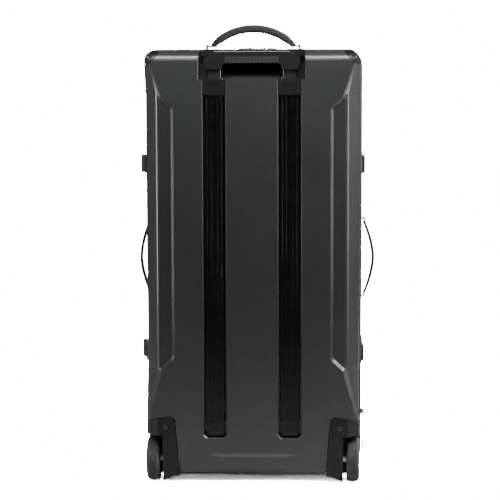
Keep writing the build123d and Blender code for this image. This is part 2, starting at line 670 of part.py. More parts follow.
def side_handle_anchors():
    """Plates, each with a cheek and a pin, for the ends of the side handles."""
    anchors = []
    for side in SIDES.values():
        for way in (-1, 1):
            end = SIDE_HANDLE_Z + way * (SIDE_HANDLE_HALF - 6)
            y_range = (SIDE_HANDLE_Y - 14, SIDE_HANDLE_Y + 14)
            plate = brick((FABRIC_HALF, FABRIC_HALF + 2), y_range, (end - 16, end + 16))
            low, high = sorted((end + way * 5.5, end + way * 9))
            y_range = (SIDE_HANDLE_Y - 5, SIDE_HANDLE_Y + 5)
            cheek = brick((FABRIC_HALF + 1, SIDE_PIVOT_X + 4), y_range, (low, high))
            low, high = sorted((end - way * 4, end + way * 7))
            pin = rod_z(2.0, low, high, SIDE_PIVOT_X, SIDE_HANDLE_Y)
            anchors.append(flip(plate + cheek + pin, side))
    return Compound(children=anchors)


# Side straps. Each is drawn on the right side.
def buckle_socket(z):
    """Female half of a side-release buckle."""
    block = brick((FABRIC_HALF, FABRIC_HALF + 7), (-40, -14), (z - 18, z + 18))
    block = fillet(block.edges().filter_by(Axis.Y).group_by(Axis.X)[-1], 2.0)
    mouth = brick((FABRIC_HALF + 1.6, FABRIC_HALF + 5.4), (-29, -13), (z - 14, z + 14))
    windows = brick((FABRIC_HALF + 1.6, FABRIC_HALF + 5.4), (-26, -19), (z - 19, z + 19))
    return block - mouth - windows


def buckle_clip(z):
    """Male half of a side-release buckle, with two prongs."""
    body = brick((FABRIC_HALF + 1, FABRIC_HALF + 6), (-13.6, -2), (z - 17, z + 17))
    slot = brick((FABRIC_HALF, FABRIC_HALF + 7), (-7.5, -5), (z - 15, z + 15))
    prongs = brick((FABRIC_HALF + 2, FABRIC_HALF + 5), (-27, -13), (z - 13, z + 13))
    gap = brick((FABRIC_HALF, FABRIC_HALF + 7), (-28, -16), (z - 6, z + 6))
    return body - slot + (prongs - gap)


def clip_webbing(z, slack):
    """Webbing sewn to a clip, running forwards through its keeper. Slack webbing bows out before it."""
    near, start, length = FABRIC_HALF + 2.4, -2.0, 40.0
    bowed = [(near + slack * sin(pi * step / 16) ** 2, start + length * step / 16) for step in range(17)]
    bowed.append((near, 84.0))
    outline = face_of(*bowed, *[(x + 2, y) for x, y in reversed(bowed)])
    return column(outline, z - STRAP_HALF, z + STRAP_HALF)


def strap_loops():
    """Webbing stubs behind the sockets and keepers round the loose ends."""
    loops = []
    for side in SIDES.values():
        for z in STRAP_ZS.values():
            stub = brick((FABRIC_HALF, FABRIC_HALF + 2), (-57, -40), (z - STRAP_HALF, z + STRAP_HALF))
            keeper = brick((FABRIC_HALF, FABRIC_HALF + 6.2), (56, 66), (z - 23, z + 23))
            hole = brick((FABRIC_HALF + 1.8, FABRIC_HALF + 5), (50, 70), (z - 20.5, z + 20.5))
            loops += [flip(stub, side), flip(keeper - hole, side)]
    return Compound(children=loops)


def strap_tail():
    """Loose webbing end with a sewn tip, hanging beside the right wheel."""
    x, top = TAIL_PIVOT
    strip = brick((x - 1.1, x + 1.1), (TAIL_Y - 10, TAIL_Y + 10), (40, top))
    tip = brick((x - 2.6, x + 2.6), (TAIL_Y - 10, TAIL_Y + 10), (36, 50))
    sleeve = rod_y(3.0, TAIL_Y - 10, TAIL_Y + 10, x, top)
    return strip + tip + sleeve - rod_y(1.55, TAIL_Y - 11, TAIL_Y + 11, x, top)


def tail_anchor():
    """Small bracket and pin that hold the loose tail."""
    x, top = TAIL_PIVOT
    plate = brick((FABRIC_HALF, FABRIC_HALF + 2), (TAIL_Y - 14, TAIL_Y + 14), (top - 8, top + 8))
    pin = rod_y(1.5, TAIL_Y - 13, TAIL_Y + 13, x, top)
    for way in (-1, 1):
        low, high = sorted((TAIL_Y + way * 10.5, TAIL_Y + way * 13.5))
        plate = plate + brick((FABRIC_HALF + 1, x + 3), (low, high), (top - 3, top + 3))
    return plate + pin


# Zip hardware
def zip_slider(side):
    """Slider on the top run of the main zip, with cheeks for its pull."""
    block = brick((SLIDER_X - 7, SLIDER_X + 7), (ZIP_Y - 6, ZIP_Y + 6), (SLIDER_LOW, SLIDER_LOW + 2.5))
    block = fillet(block.edges().filter_by(Axis.Z), 2.5)
    for way in (-1, 1):
        low, high = sorted((ZIP_Y + way * 3.2, ZIP_Y + way * 5))
        block = block + brick((SLIDER_X - 2, SLIDER_X + 2), (low, high), (SLIDER_LOW + 2, PULL_Z + 2))
    pin = rod_y(1.0, ZIP_Y - 4, ZIP_Y + 4, SLIDER_X, PULL_Z)
    return flip(block + pin, side)


def zip_pull(side):
    """Pull tab lying flat, away from the middle."""
    end = SLIDER_X + PULL_LENGTH
    tab = brick((SLIDER_X, end), (ZIP_Y - 2.8, ZIP_Y + 2.8), (PULL_Z - 1, PULL_Z + 1))
    grip_end = brick((SLIDER_X + 9, end), (ZIP_Y - 5, ZIP_Y + 5), (PULL_Z - 1.6, PULL_Z + 1.6))
    sleeve = rod_y(2.2, ZIP_Y - 2.8, ZIP_Y + 2.8, SLIDER_X, PULL_Z)
    pull = tab + grip_end + sleeve - rod_y(1.05, ZIP_Y - 6, ZIP_Y + 6, SLIDER_X, PULL_Z)
    pull = pull.rotate(Axis((SLIDER_X, ZIP_Y, PULL_Z), (0, 1, 0)), PULL_REST)
    return flip(pull, side)


def pocket_slider():
    """Slider of the front pocket's zip, with a short tab."""
    x, z, front = POCKET_ZIP_X, POCKET_ZIP_Z, POCKET_FRONT
    block = brick((x - 7, x + 7), (front - 3.6, front), (z - 5, z + 5))
    return block + brick((x - 4, x + 4), (front - 2.5, front), (z - 28, z))


# Write every piece
os.makedirs("parts", exist_ok=True)

save(back_shell(), "back_shell")
save(both_sides(corner_guard), "corner_guards")
save(both_sides(corner_guard_screw), "corner_guard_screws")
save(both_sides(housing_screw), "housing_screws")
save(both_sides(tube_collar), "tube_collars")
save(both_sides(tube_end_cap), "tube_end_caps")
save(both_sides(axle), "axles")
save(both_sides(lock_rod), "lock_rods")
save(both_sides(front_foot), "front_feet")
save(both_sides(foot_screw), "foot_screws")
save(both_sides(top_handle_anchor), "top_handle_anchors")
save(side_handle_anchors(), "side_handle_anchors")
save(strap_loops(), "strap_loops")
save(well_cap(), "well_cap")
save(rim_binding(), "rim_binding")
save(tube_liner(), "tube_liner")
save(base_stiffener(), "base_stiffener")
save(fabric_body(), "fabric_body")
save(front_lid(), "front_lid")
save(zip_tape(ZIP_Y - 12, ZIP_Y - ZIP_GAP / 2), "body_zip_tape")
save(zip_tape(ZIP_Y + ZIP_GAP / 2, ZIP_Y + 12), "lid_zip_tape")
save(pocket(120, 690, 150, POCKET_FRONT - FRONT_Y - 4), "front_pocket")
save(pocket(715, 845, 150, POCKET_FRONT - FRONT_Y - 5), "upper_pocket")
save(pocket_slider(), "pocket_slider")
save(grip(), "grip")
save(grip_pad(), "grip_pad")
save(grip_button(), "grip_button")
save(button_spring(), "button_spring")
save(carry_handle(), "carry_handle")
save(strap_tail(), "strap_tail")
save(tail_anchor(), "tail_anchor")
save(
    Compound(children=[flip(buckle_socket(z), side) for side in SIDES.values() for z in STRAP_ZS.values()]),
    "buckle_sockets",
)

for name, side in SIDES.items():
    save(wheel_housing(side), f"wheel_housing_{name}")
    save(outer_tube(side), f"outer_tube_{name}")
    save(tube(side, MIDDLE_TUBE, 140.0, WELL_BOTTOM + 3), f"middle_tube_{name}")
    save(tube(side, INNER_TUBE, 152.0, GRIP_LOW + 19), f"inner_tube_{name}")
    save(wheel_tyre(side), f"wheel_tyre_{name}")
    save(wheel_hub(side), f"wheel_hub_{name}")
    save(wheel_bearings(side), f"wheel_bearings_{name}")
    save(side_handle(side), f"side_handle_{name}")
    save(zip_slider(side), f"zip_slider_{name}")
    save(zip_pull(side), f"zip_pull_{name}")
    for row, z in STRAP_ZS.items():
        save(flip(buckle_clip(z), side), f"buckle_clip_{row}_{name}")
        save(flip(clip_webbing(z, STRAP_SLACK[name]), side), f"clip_webbing_{row}_{name}")
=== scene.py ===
"""Looks of the wheeled gear case: camera, light, materials and the soft goods round the CAD frame."""

import json
import math

import bmesh
import bpy
from mathutils import Euler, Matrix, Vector, noise
from mathutils.bvhtree import BVHTree


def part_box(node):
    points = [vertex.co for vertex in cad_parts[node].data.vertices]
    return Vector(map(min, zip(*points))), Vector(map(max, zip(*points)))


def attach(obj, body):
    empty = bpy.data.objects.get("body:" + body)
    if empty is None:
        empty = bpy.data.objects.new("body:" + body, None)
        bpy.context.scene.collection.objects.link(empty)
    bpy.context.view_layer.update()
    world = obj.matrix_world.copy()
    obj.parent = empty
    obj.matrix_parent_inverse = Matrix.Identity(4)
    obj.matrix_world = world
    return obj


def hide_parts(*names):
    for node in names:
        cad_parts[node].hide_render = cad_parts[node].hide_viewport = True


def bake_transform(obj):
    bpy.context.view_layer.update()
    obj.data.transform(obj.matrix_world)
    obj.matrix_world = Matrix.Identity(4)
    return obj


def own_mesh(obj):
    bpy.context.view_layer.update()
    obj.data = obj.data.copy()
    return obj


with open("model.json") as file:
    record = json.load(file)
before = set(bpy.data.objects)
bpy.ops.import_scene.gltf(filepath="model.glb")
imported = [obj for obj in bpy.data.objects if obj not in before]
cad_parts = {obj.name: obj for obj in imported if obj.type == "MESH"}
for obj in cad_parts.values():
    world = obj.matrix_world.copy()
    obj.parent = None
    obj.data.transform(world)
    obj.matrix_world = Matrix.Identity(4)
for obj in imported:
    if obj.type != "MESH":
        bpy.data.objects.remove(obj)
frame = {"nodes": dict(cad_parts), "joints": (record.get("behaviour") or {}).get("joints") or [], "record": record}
nodes = frame["nodes"]
joints = {joint["name"]: joint for joint in frame["joints"]}
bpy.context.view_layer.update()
MM = 0.001

# Places taken from the frame -----------------------------------------------------------------------
body_low, body_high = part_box("fabric_body")
lid_low, lid_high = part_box("front_lid")
tape_low, tape_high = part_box("body_zip_tape")
SIDE = -body_low.x
FLOOR_Z = body_low.z
TOP_Z = body_high.z
START_Y = body_low.y
ZIP_Y = lid_low.y
FRONT_Y = lid_high.y
LID_Z = lid_low.z
CORNER = 34 * MM
ROUND = 22 * MM


BACKDROP = 20.0  # how bright the backdrop looks behind the case
AMBIENT_NEAR = 0.008  # light from the dark side of the studio, behind the camera
AMBIENT_FAR = 0.35  # light from the backdrop
FLOOR_TONE = 0.5
FLOOR_GAIN = 260.0  # how much brighter the floor looks than the light it gives
SUN = 0.15
LIGHTS = [  # name, place, aim, size, power
    ("near_top", (-0.05, -0.7, 1.35), (0, -0.15, 0.85), (1.3, 0.15), 27),
    ("front_high", (0, -1.8, 1.5), (0, -0.15, 0.95), (1.6, 0.3), 7),
    ("right_near", (0.95, -0.35, 1.25), (0.2, -0.15, 0.8), (0.2, 0.35), 44),
    ("right_strip", (1.7, -0.5, 0.75), (0.1, -0.15, 0.5), (0.08, 1.0), 20),
    ("left_strip", (-1.7, -0.55, 0.7), (-0.1, -0.15, 0.5), (0.08, 1.1), 26),
    ("fabric_side", (0.9, 2.6, 1.7), (0, 0.1, 0.5), (1.8, 1.4), 80),
]


# Camera, light and stage ----------------------------------------------------------------------------
def make_camera():
    data = bpy.data.cameras.new("camera")
    data.sensor_width = 36
    data.lens = 117.7
    data.clip_end = 50
    camera = bpy.data.objects.new("camera", data)
    bpy.context.scene.collection.objects.link(camera)
    camera.location = (0.1536, -3.492, 0.813)
    camera.rotation_euler = Euler((math.radians(90) - 0.0971, 0.0024, 0.0472))
    bpy.context.scene.camera = camera


def area_light(name, place, aim, size, power):
    data = bpy.data.lights.new(name, "AREA")
    data.shape = "RECTANGLE"
    data.size, data.size_y = size
    data.energy = power
    light = bpy.data.objects.new(name, data)
    bpy.context.scene.collection.objects.link(light)
    light.location = place
    light.rotation_euler = (Vector(aim) - Vector(place)).to_track_quat("-Z", "Y").to_euler()


def make_stage():
    """White studio: plain floor, soft light from above and panels at the sides.

    The floor and the backdrop look brighter to the camera than the light they give."""
    mesh = bpy.data.meshes.new("floor")
    half = 30.0
    mesh.from_pydata([(-half, -half, 0), (half, -half, 0), (half, half, 0), (-half, half, 0)], [], [(0, 1, 2, 3)])
    floor = bpy.data.objects.new("floor", mesh)
    bpy.context.scene.collection.objects.link(floor)
    paint = Paint("pale_floor", 1.0, specular=0.0)
    tone = paint.node("ShaderNodeMapRange", clamp=False)
    tone.inputs["To Min"].default_value = FLOOR_TONE
    tone.inputs["To Max"].default_value = FLOOR_TONE * FLOOR_GAIN
    paint.link(paint.node("ShaderNodeLightPath").outputs["Is Camera Ray"], tone.inputs["Value"])
    paint.color(tone.outputs["Result"])
    mesh.materials.append(paint.material)

    world = bpy.data.worlds.new("studio")
    bpy.context.scene.world = world
    world.use_nodes = True
    tree = world.node_tree
    back = tree.nodes["Background"]
    back.inputs["Color"].default_value = (1, 1, 1, 1)
    split = tree.nodes.new("ShaderNodeSeparateXYZ")
    tree.links.new(tree.nodes.new("ShaderNodeTexCoord").outputs["Generated"], split.inputs[0])
    behind = tree.nodes.new("ShaderNodeMapRange")
    behind.inputs["From Min"].default_value = -0.2
    behind.inputs["To Min"].default_value = AMBIENT_NEAR
    behind.inputs["To Max"].default_value = AMBIENT_FAR
    tree.links.new(split.outputs[1], behind.inputs["Value"])
    strength = tree.nodes.new("ShaderNodeMix")
    strength.inputs["B"].default_value = BACKDROP
    tree.links.new(behind.outputs["Result"], strength.inputs["A"])
    tree.links.new(tree.nodes.new("ShaderNodeLightPath").outputs["Is Camera Ray"], strength.inputs["Factor"])
    tree.links.new(strength.outputs["Result"], back.inputs["Strength"])

    data = bpy.data.lights.new("soft_top", "SUN")
    data.energy = SUN
    data.angle = math.radians(70)
    sun = bpy.data.objects.new("soft_top", data)
    bpy.context.scene.collection.objects.link(sun)
    for light in LIGHTS:
        area_light(*light)


# Materials -----------------------------------------------------------------------------------------
class Paint:
    """A node material under construction."""

    def __init__(self, name, roughness, metallic=0.0, specular=0.5, coat=0.0, sheen=0.0):
        self.material = bpy.data.materials.new(name)
        self.material.use_nodes = True
        self.tree = self.material.node_tree
        self.shader = self.tree.nodes["Principled BSDF"]
        self.shader.inputs["Metallic"].default_value = metallic
        self.shader.inputs["Roughness"].default_value = roughness
        self.shader.inputs["Specular IOR Level"].default_value = specular
        self.shader.inputs["Coat Weight"].default_value = coat
        self.shader.inputs["Sheen Weight"].default_value = sheen
        self.place = self.node("ShaderNodeTexCoord").outputs["Object"]

    def node(self, kind, **values):
        made = self.tree.nodes.new(kind)
        for key, value in values.items():
            setattr(made, key, value)
        return made

    def link(self, source, target):
        self.tree.links.new(source, target)

    def math(self, operation, first, second=None):
        made = self.node("ShaderNodeMath", operation=operation)
        for socket, value in zip(made.inputs, (first, second)):
            if isinstance(value, (int, float)):
                socket.default_value = value
            elif value is not None:
                self.link(value, socket)
        return made.outputs[0]

    def noise(self, scale, detail=3.0):
        made = self.node("ShaderNodeTexNoise")
        made.inputs["Scale"].default_value = scale
        made.inputs["Detail"].default_value = detail
        self.link(self.place, made.inputs["Vector"])
        return made.outputs["Fac"]

    def ramp(self, factor, low, high, start=0.3, end=0.7):
        made = self.node("ShaderNodeValToRGB")
        made.color_ramp.elements[0].position = start
        made.color_ramp.elements[1].position = end
        made.color_ramp.elements[0].color = (*low, 1)
        made.color_ramp.elements[1].color = (*high, 1)
        self.link(factor, made.inputs["Fac"])
        return made.outputs["Color"]

    def color(self, output):
        self.link(output, self.shader.inputs["Base Color"])

    def rough(self, factor, low, high):
        span = self.node("ShaderNodeMapRange")
        span.inputs["To Min"].default_value = low
        span.inputs["To Max"].default_value = high
        self.link(factor, span.inputs["Value"])
        self.link(span.outputs["Result"], self.shader.inputs["Roughness"])

    def bump(self, height, distance, strength=0.6):
        made = self.node("ShaderNodeBump")
        made.inputs["Distance"].default_value = distance
        made.inputs["Strength"].default_value = strength
        self.link(height, made.inputs["Height"])
        self.link(made.outputs["Normal"], self.shader.inputs["Normal"])

    def sines(self, pitch):
        """Sine of each coordinate, with the given repeat in metres."""
        split = self.node("ShaderNodeSeparateXYZ")
        self.link(self.place, split.inputs[0])
        rate = 2 * math.pi / pitch
        return [self.math("SINE", self.math("MULTIPLY", split.outputs[axis], rate)) for axis in range(3)]


def grey(value, tint=(1.0, 1.0, 1.0)):
    return tuple(value * part for part in tint)


def moulded(name, value, roughness, grain=2600.0, depth=0.00012, specular=0.5):
    """Moulded plastic: fine spark texture and a slightly uneven tone."""
    paint = Paint(name, roughness, specular=specular)
    cool = (0.98, 1.0, 1.03)
    broad = paint.noise(9.0, 4.0)
    scuff = paint.noise(90.0, 2.0)
    mixed = paint.math("ADD", paint.math("MULTIPLY", broad, 0.8), paint.math("MULTIPLY", scuff, 0.2))
    paint.color(paint.ramp(mixed, grey(value * 0.88, cool), grey(value * 1.14, cool)))
    paint.bump(paint.noise(grain, 2.0), depth, 0.35)
    return paint.material


def metal(name, value, roughness, brush=900.0):
    """Metal with fine brushing and small colour drift."""
    paint = Paint(name, roughness, metallic=1.0)
    lines = paint.noise(brush, 2.0)
    paint.color(paint.ramp(lines, grey(value * 0.85), grey(value * 1.1)))
    paint.rough(lines, roughness - 0.05, roughness + 0.12)
    paint.bump(lines, 0.00004, 0.25)
    return paint.material


def gloss_tube():
    """Gloss black coating."""
    paint = Paint("tube_gloss", 0.14, specular=0.18)
    paint.color(paint.ramp(paint.noise(40.0), grey(0.001), grey(0.002)))
    return paint.material


def weave(name, value, pitch, depth, roughness=0.85, twill=False, sheen=0.15, lint_and_crown_shade=0.35):
    """Woven cloth: crossing threads on every face, with lint, a painted highlight on the thread crowns and painted
    shade between the threads.
    """
    paint = Paint(name, roughness, specular=0.3, sheen=sheen)
    x, y, z = paint.sines(pitch)
    if twill:
        split = paint.node("ShaderNodeSeparateXYZ")
        paint.link(paint.place, split.inputs[0])
        total = paint.math("ADD", split.outputs[0], split.outputs[2])
        total = paint.math("ADD", total, split.outputs[1])
        height = paint.math("SINE", paint.math("MULTIPLY", total, 2 * math.pi / (pitch * 2.2)))
        height = paint.math("ADD", height, paint.math("MULTIPLY", paint.math("MULTIPLY", x, z), 0.5))
    else:
        height = paint.math("MULTIPLY", x, z)
        height = paint.math("ADD", height, paint.math("MULTIPLY", y, z))
        height = paint.math("ADD", height, paint.math("MULTIPLY", x, y))
    lint = paint.noise(700.0, 4.0)
    # painted light: the weave height makes the thread crowns lighter (painted highlight) and the gaps between threads
    # darker (painted shade); the lint noise adds random tone
    tone = paint.math("ADD", paint.math("MULTIPLY", height, 0.25), lint)
    paint.color(paint.ramp(tone, grey(value * (1 - lint_and_crown_shade)), grey(value * (1 + lint_and_crown_shade)), 0.25, 0.85))
    paint.rough(lint, roughness - 0.1, min(1.0, roughness + 0.1))
    paint.bump(paint.math("ADD", height, paint.math("MULTIPLY", lint, 0.5)), depth, 0.55)
    return paint.material


def tyre_rubber():
    """Tyre compound with road dust and small scuffs."""
    paint = Paint("tyre_rubber", 0.8, specular=0.35)
    dust = paint.noise(120.0, 8.0)
    paint.color(paint.ramp(dust, grey(0.012), grey(0.028), 0.35, 0.75))
    paint.rough(dust, 0.62, 0.92)
    paint.bump(paint.noise(1500.0, 4.0), 0.0003, 0.5)
    return paint.material


PAINTS = {
    "shell_plastic": moulded("shell_satin", 0.011, 0.28, depth=0.00006, specular=0.42),
    "guard_plastic": moulded("guard_matte", 0.003, 0.34, grain=1800.0, depth=0.0001, specular=0.2),
    "grip_plastic": moulded("grip_satin", 0.004, 0.26, specular=0.35),
    "buckle_plastic": moulded("buckle_acetal", 0.008, 0.3),
    "board": moulded("floor_board", 0.04, 0.6),
    "grip_rubber": moulded("soft_rubber", 0.006, 0.7, grain=1400.0, depth=0.0002, specular=0.2),
    "tube_black": gloss_tube(),
    "tube_metal": metal("anodised_tube", 0.09, 0.24),
    "bright_steel": metal("bright_steel", 0.6, 0.26),
    "dark_metal": metal("dark_metal", 0.05, 0.35),
    "tyre": tyre_rubber(),
    "body_fabric": weave("ballistic_weave", 0.016, 0.0018, 0.0004),
    "handle_fabric": weave("handle_twill", 0.003, 0.0016, 0.0005, twill=True, sheen=0.06),
    "webbing": weave("webbing_weave", 0.012, 0.0022, 0.0005, twill=True, sheen=0.1),
    "zip_tape": weave("zip_tape_weave", 0.012, 0.0011, 0.0002),
    "lining": weave("lining_weave", 0.09, 0.0009, 0.00015, sheen=0.3),
}
THREAD = weave("thread", 0.035, 0.0008, 0.0001, lint_and_crown_shade=0.2)


def paint_cad_nodes():
    """Give every CAD node the material of its record slot."""
    for entry in frame["record"]["subparts"]:
        mesh = nodes[entry["node"]].data
        mesh.materials.clear()
        mesh.materials.append(PAINTS[entry["material_slot"]])
        if entry["material_slot"] in EDGES:
            round_edges(nodes[entry["node"]], EDGES[entry["material_slot"]])


def round_edges(piece, width):
    """Small moulded radius on a hard piece's sharp edges."""
    weld = piece.modifiers.new("weld", "WELD")
    weld.merge_threshold = 0.00001
    bevel = piece.modifiers.new("edge_radius", "BEVEL")
    bevel.width = width
    bevel.segments = 2
    bevel.limit_method = "ANGLE"
    bevel.angle_limit = math.radians(28)
    bevel.use_clamp_overlap = True
    normals = piece.modifiers.new("normals", "WEIGHTED_NORMAL")
    normals.keep_sharp = False
    piece.data.polygons.foreach_set("use_smooth", [True] * len(piece.data.polygons))


EDGES = {
    "shell_plastic": 1.1 * MM,
    "guard_plastic": 0.8 * MM,
    "grip_plastic": 1.2 * MM,
    "buckle_plastic": 0.3 * MM,
    "tube_black": 1.4 * MM,
}


# Mesh helpers --------------------------------------------------------------------------------------
def add_mesh(name, points, faces, paint, smooth=True):
    mesh = bpy.data.meshes.new(name)
    mesh.from_pydata([tuple(point) for point in points], [], faces)
    shape = bmesh.new()
    shape.from_mesh(mesh)
    bmesh.ops.remove_doubles(shape, verts=shape.verts, dist=1e-6)
    bmesh.ops.recalc_face_normals(shape, faces=shape.faces)
    shape.to_mesh(mesh)
    shape.free()
    mesh.materials.append(paint)
    mesh.polygons.foreach_set("use_smooth", [smooth] * len(mesh.polygons))
    piece = bpy.data.objects.new(name, mesh)
    bpy.context.scene.collection.objects.link(piece)
    return piece


def place_piece(piece, body, replaced=()):
    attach(piece, body)
    if replaced:
        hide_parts(*replaced)
    return piece


def rounded_path(half, low, high, r_low, r_high, step=0.012):
    """Closed outline as (x, z, nx, nz), counter-clockwise from the lower left straight."""
    corners = [
        (half - r_low, low + r_low, r_low, -90),
        (half - r_high, high - r_high, r_high, 0),
        (-half + r_high, high - r_high, r_high, 90),
        (-half + r_low, low + r_low, r_low, 180),
    ]
    path = []
    for index, (cx, cz, radius, start) in enumerate(corners):
        for part in range(9):
            angle = math.radians(start + 90 * part / 8)
            nx, nz = math.cos(angle), math.sin(angle)
            path.append((cx + radius * nx, cz + radius * nz, nx, nz))
        x0, z0, nx, nz = path[-1]
        ncx, ncz, nr, nstart = corners[(index + 1) % 4]
        x1 = ncx + nr * math.cos(math.radians(nstart))
        z1 = ncz + nr * math.sin(math.radians(nstart))
        count = max(1, int(math.hypot(x1 - x0, z1 - z0) / step))
        for part in range(1, count):
            share = part / count
            path.append((x0 + (x1 - x0) * share, z0 + (z1 - z0) * share, nx, nz))
    return path


def ring_faces(rings, count, closed_rings=False):
    faces = []
    for ring in range(rings if closed_rings else rings - 1):
        after = (ring + 1) % rings
        for index in range(count):
            follow = (index + 1) % count
            faces.append((ring * count + index, ring * count + follow, after * count + follow, after * count + index))
    return faces


def pucker(x, y, z, size=0.06):
    """Smooth wrinkle height, from 0 to 1."""
    return 0.5 + 0.5 * noise.noise(Vector((x, y * 0.7, z)) / size)


# Fabric body, sill and lid --------------------------------------------------------------------------
def make_body_walls():
    """Closed fabric wall round the main compartment, with shallow wrinkles between its seams."""
    path = rounded_path(SIDE, FLOOR_Z, TOP_Z, CORNER, CORNER)
    inner = rounded_path(SIDE - 5 * MM, FLOOR_Z + 5 * MM, TOP_Z - 5 * MM, CORNER - 5 * MM, CORNER - 5 * MM)
    end_y = ZIP_Y - 0.3 * MM
    rows = 22
    points = []
    for row in range(rows + 1):
        share = row / rows
        y = START_Y + (end_y - START_Y) * share
        slack = math.sin(math.pi * share) ** 0.6
        for x, z, nx, nz in path:
            sink = -2.2 * MM * slack * pucker(x, y, z) - 0.8 * MM * slack * pucker(x, y, z, 0.018)
            points.append((x + nx * sink, y, z + nz * sink))
    for row in range(rows + 1):
        y = end_y + (START_Y - end_y) * row / rows
        for index in range(len(path)):
            x, z = path[index][0] - path[index][2] * 5 * MM, path[index][1] - path[index][3] * 5 * MM
            points.append((x, y, z))
    count = len(path)
    walls = add_mesh("body_walls", points, ring_faces(2 * rows + 2, count, True), PAINTS["body_fabric"])
    return walls


def domed_cap(name, low, high, r_low, r_high, back_y, soft, crown, hollow):
    """Soft tray: walls from back_y forwards, a round edge, and a crowned face.

    soft(nz) says how far the round edge reaches on a wall that faces nz. hollow makes an inner skin."""
    path = rounded_path(SIDE, low, high, r_low, r_high)
    count = len(path)
    middle = (low + high) / 2

    def skin(inset):
        rings = []

        def drawn_in(x, z, nx, nz, amount):
            """Point moved inwards, kept within the walls beside it where the corner is tighter than the move."""
            wide = SIDE - inset - soft(0) * amount
            x -= nx * (inset + soft(nz) * amount)
            z -= nz * (inset + soft(nz) * amount)
            return max(-wide, min(wide, x)), max(low + inset + soft(-1) * amount, z)

        base = [(*drawn_in(x, z, nx, nz, 0), nx, nz) for x, z, nx, nz in path]
        front = FRONT_Y - inset
        edge = ROUND - inset
        for y in (back_y, back_y + 6 * MM, (back_y + front - edge) / 2):
            rings.append([(x, y, z) for x, z, nx, nz in base])
        for part in range(9):
            angle = math.radians(90 * part / 8)
            ring = []
            for point in path:
                x, z = drawn_in(*point, edge * (1 - math.cos(angle)))
                ring.append((x, front - edge * (1 - math.sin(angle)), z))
            rings.append(ring)
        last = rings[-1]
        for part in range(1, 26):
            keep = 1 - part / 26
            ring = []
            for x, y, z in last:
                px, pz = x * keep, middle + (z - middle) * keep
                rise = crown * (1 - keep ** 2.5) if inset == 0 else 0.0
                fold = -1.6 * MM * pucker(px, 0.3, pz, 0.09) * (1 - keep ** 6) if inset == 0 else 0.0
                ring.append((px, y + rise + fold, pz))
            rings.append(ring)
        return rings

    outer = skin(0.0)
    rings = list(reversed(outer))
    if hollow:
        rings += skin(5 * MM)
    points = [point for ring in rings for point in ring]
    faces = ring_faces(len(rings), count)
    ends = [0, len(rings) - 1]
    for end in ends:
        faces.append(tuple(end * count + index for index in range(count)))
    return add_mesh(name, points, faces, PAINTS["body_fabric"])


def make_lid():
    def soft(nz):
        return 0.2 + 0.8 * min(1.0, max(0.0, 1.0 + nz))

    return domed_cap("lid_fabric", LID_Z, TOP_Z, 3 * MM, CORNER, ZIP_Y, soft, 1.5 * MM, True)


def make_sill():
    def soft(nz):
        return 0.2 + 0.8 * min(1.0, max(0.0, 1.0 - nz))

    return domed_cap("sill_fabric", FLOOR_Z, LID_Z - 0.6 * MM, 26 * MM, 3 * MM, ZIP_Y - 4 * MM, soft, 0.0, False)


def band(name, y_from, y_to, proud, paint, bead=False, full=False, outline=None):
    """Band round the case's outside; bead makes it a round cord."""
    path = outline or rounded_path(SIDE, FLOOR_Z, TOP_Z, CORNER, CORNER)
    if not full:
        start = [index for index, point in enumerate(path) if point[0] > 0 and point[1] > LID_Z + 2 * MM][0]
        path = path[start:] + path[:start]
        path = [point for point in path if point[1] > LID_Z + 2 * MM]
    rows = 8
    points = []
    for x, z, nx, nz in path:
        for part in range(rows):
            angle = 2 * math.pi * part / rows
            reach = proud * (math.sin(angle) if bead else max(-0.4, min(0.9, 1.6 * math.sin(angle))))
            y = (y_from + y_to) / 2 + (y_to - y_from) / 2 * max(-1, min(1, (1 if bead else 1.35) * math.cos(angle)))
            points.append((x + nx * reach, y, z + nz * reach))
    faces = []
    spans = len(path) if full else len(path) - 1
    for index in range(spans):
        follow = (index + 1) % len(path)
        for part in range(rows):
            other = (part + 1) % rows
            faces.append((index * rows + part, index * rows + other, follow * rows + other, follow * rows + part))
    if not full:
        faces.append(tuple(range(rows)))
        faces.append(tuple((len(path) - 1) * rows + part for part in range(rows)))
    return add_mesh(name, points, faces, paint)


def walk(path, pitch):
    """Places at an even pitch along a list of points."""
    found, carried = [], 0.0
    for here, there in zip(path, path[1:]):
        span = (there - here).length
        while carried < span:
            found.append((here.lerp(there, carried / span), (there - here).normalized()))
            carried += pitch
        carried -= span
    return found


def stitches(name, path, normal, body, pitch=4.2 * MM, length=2.8 * MM, radius=0.38 * MM):
    """Row of raised thread stitches along a path."""
    points, faces = [], []
    for place, along in walk(path, pitch):
        up = normal(place) if callable(normal) else Vector(normal)
        across = along.cross(up).normalized()
        start = len(points)
        for share, width in ((-1, 0.25), (-0.45, 1.0), (0.45, 1.0), (1, 0.25)):
            middle = place + along * share * length / 2 + up * radius * (0.2 + 0.5 * width)
            for part in range(5):
                angle = 2 * math.pi * part / 5
                points.append(middle + (across * math.cos(angle) + up * math.sin(angle)) * radius * width)
        for ring in range(3):
            for part in range(5):
                other = (part + 1) % 5
                first = start + ring * 5
                faces.append((first + part, first + other, first + 5 + other, first + 5 + part))
        faces.append(tuple(start + part for part in range(5)))
        faces.append(tuple(start + 15 + part for part in range(5)))
    return place_piece(add_mesh(name, points, faces, THREAD), body)


